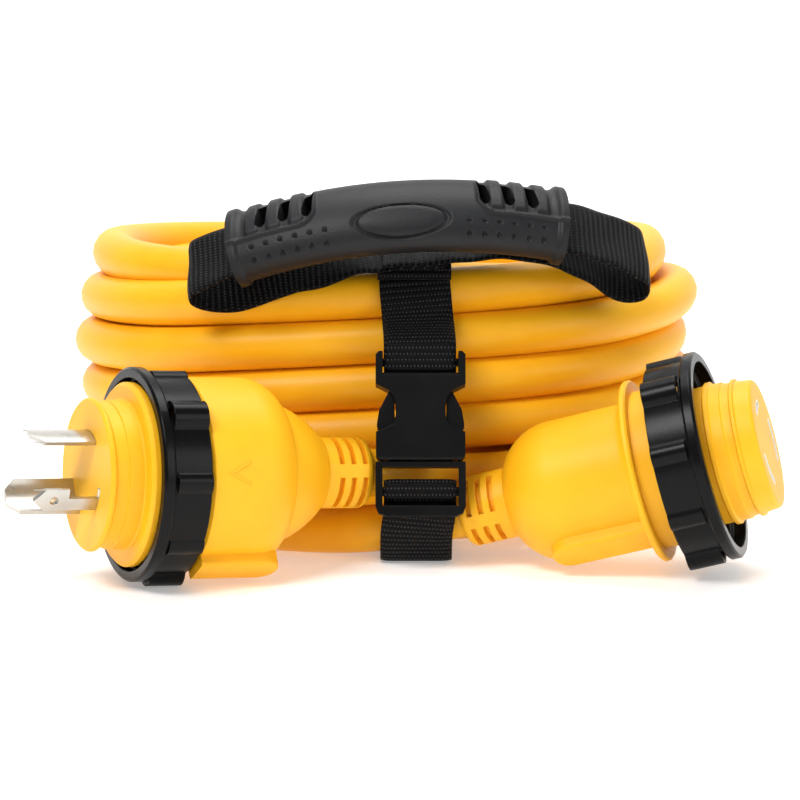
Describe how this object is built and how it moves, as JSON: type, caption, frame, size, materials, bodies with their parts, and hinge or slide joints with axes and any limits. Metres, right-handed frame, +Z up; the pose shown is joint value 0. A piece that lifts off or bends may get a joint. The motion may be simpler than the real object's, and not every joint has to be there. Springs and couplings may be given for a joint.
{
  "type": "shore power cord",
  "caption": "Coiled shore power extension cord with a locking blade plug, a locking connector, threaded rings, a carry strap with buckle and a moulded handle.",
  "frame": {"origin": "on the ground under the middle of the whole object's box", "axes": "+Z up, +X to the connector's side, -Y to the front, where the buckle is"},
  "size_m": [0.2704, 0.283, 0.1351],
  "materials": {
    "jacket": "satin",
    "end_shell": "satin",
    "insulator": "matte",
    "ring": "gloss",
    "seal": "matte",
    "blade": "polished nickel",
    "contact": "satin",
    "conductor": "satin",
    "buckle": "satin",
    "webbing": "woven",
    "thread": "matte",
    "grip": "fine grain",
    "grip_pad": "smooth"
  },
  "bodies": {
    "root": {"buckle_female": "buckle", "buckle_male": "buckle", "connector_body": "end_shell", "connector_contact_ground": "contact", "connector_contact_hot": "contact", "connector_contact_neutral": "contact", "connector_core": "insulator", "connector_lead": "jacket", "connector_wire_ground": "conductor", "connector_wire_hot": "conductor", "connector_wire_neutral": "conductor", "cord_coil": "jacket", "handle_seam": "webbing", "plug_blade_ground": "blade", "plug_blade_hot": "blade", "plug_blade_neutral": "blade", "plug_body": "end_shell", "plug_core": "insulator", "plug_lead": "jacket", "plug_wire_ground": "conductor", "plug_wire_hot": "conductor", "plug_wire_neutral": "conductor", "seam_stitching": "thread", "strap_webbing": "webbing"},
    "plug_seal": {"plug_ring_seal": "seal"},
    "plug_ring": {"plug_locking_ring": "ring"},
    "connector_seal": {"connector_ring_seal": "seal"},
    "connector_ring": {"connector_locking_ring": "ring"},
    "prong_left": {"buckle_prong_left": "buckle"},
    "prong_right": {"buckle_prong_right": "buckle"},
    "handle": {"handle_grip": "grip", "handle_pad": "grip_pad", "handle_webbing": "webbing"}
  },
  "joints": [
    {"name": "plug_ring_slide", "type": "slide", "parent": "root", "child": "plug_seal", "axis": [-0.9088, -0.4122, 0.0645], "range_m": [0, 0.008]},
    {"name": "plug_ring_turn", "type": "hinge", "parent": "plug_seal", "child": "plug_ring", "pos_m": [-0.08341, -0.10416, 0.03803], "axis": [-0.9088, -0.4122, 0.0645], "continuous": true},
    {"name": "connector_ring_slide", "type": "slide", "parent": "root", "child": "connector_seal", "axis": [-0.9403, 0.2171, -0.2622], "range_m": [0, 0.0065]},
    {"name": "connector_ring_turn", "type": "hinge", "parent": "connector_seal", "child": "connector_ring", "pos_m": [0.10246, -0.08725, 0.04002], "axis": [0.9403, -0.2171, 0.2622], "continuous": true},
    {"name": "prong_right_squeeze", "type": "hinge", "parent": "root", "child": "prong_right", "pos_m": [0.01988, -0.08178, 0.04005], "axis": [0, -0.9563, 0.2924], "range_deg": [0, 7], "stiffness_Nm_per_rad": 0.6},
    {"name": "prong_left_squeeze", "type": "hinge", "parent": "root", "child": "prong_left", "pos_m": [-0.00452, -0.08178, 0.04005], "axis": [0, -0.9563, 0.2924], "range_deg": [-7, 0], "stiffness_Nm_per_rad": 0.6},
    {"name": "handle_lift", "type": "hinge", "parent": "root", "child": "handle", "pos_m": [0.00048, -0.04351, 0.1056], "axis": [0.9976, 0, 0.0698], "range_deg": [-45, 0]}
  ],
  "couplings": [
    {"joint": "prong_left_squeeze", "follows": "prong_right_squeeze", "ratio": -1}
  ]
}
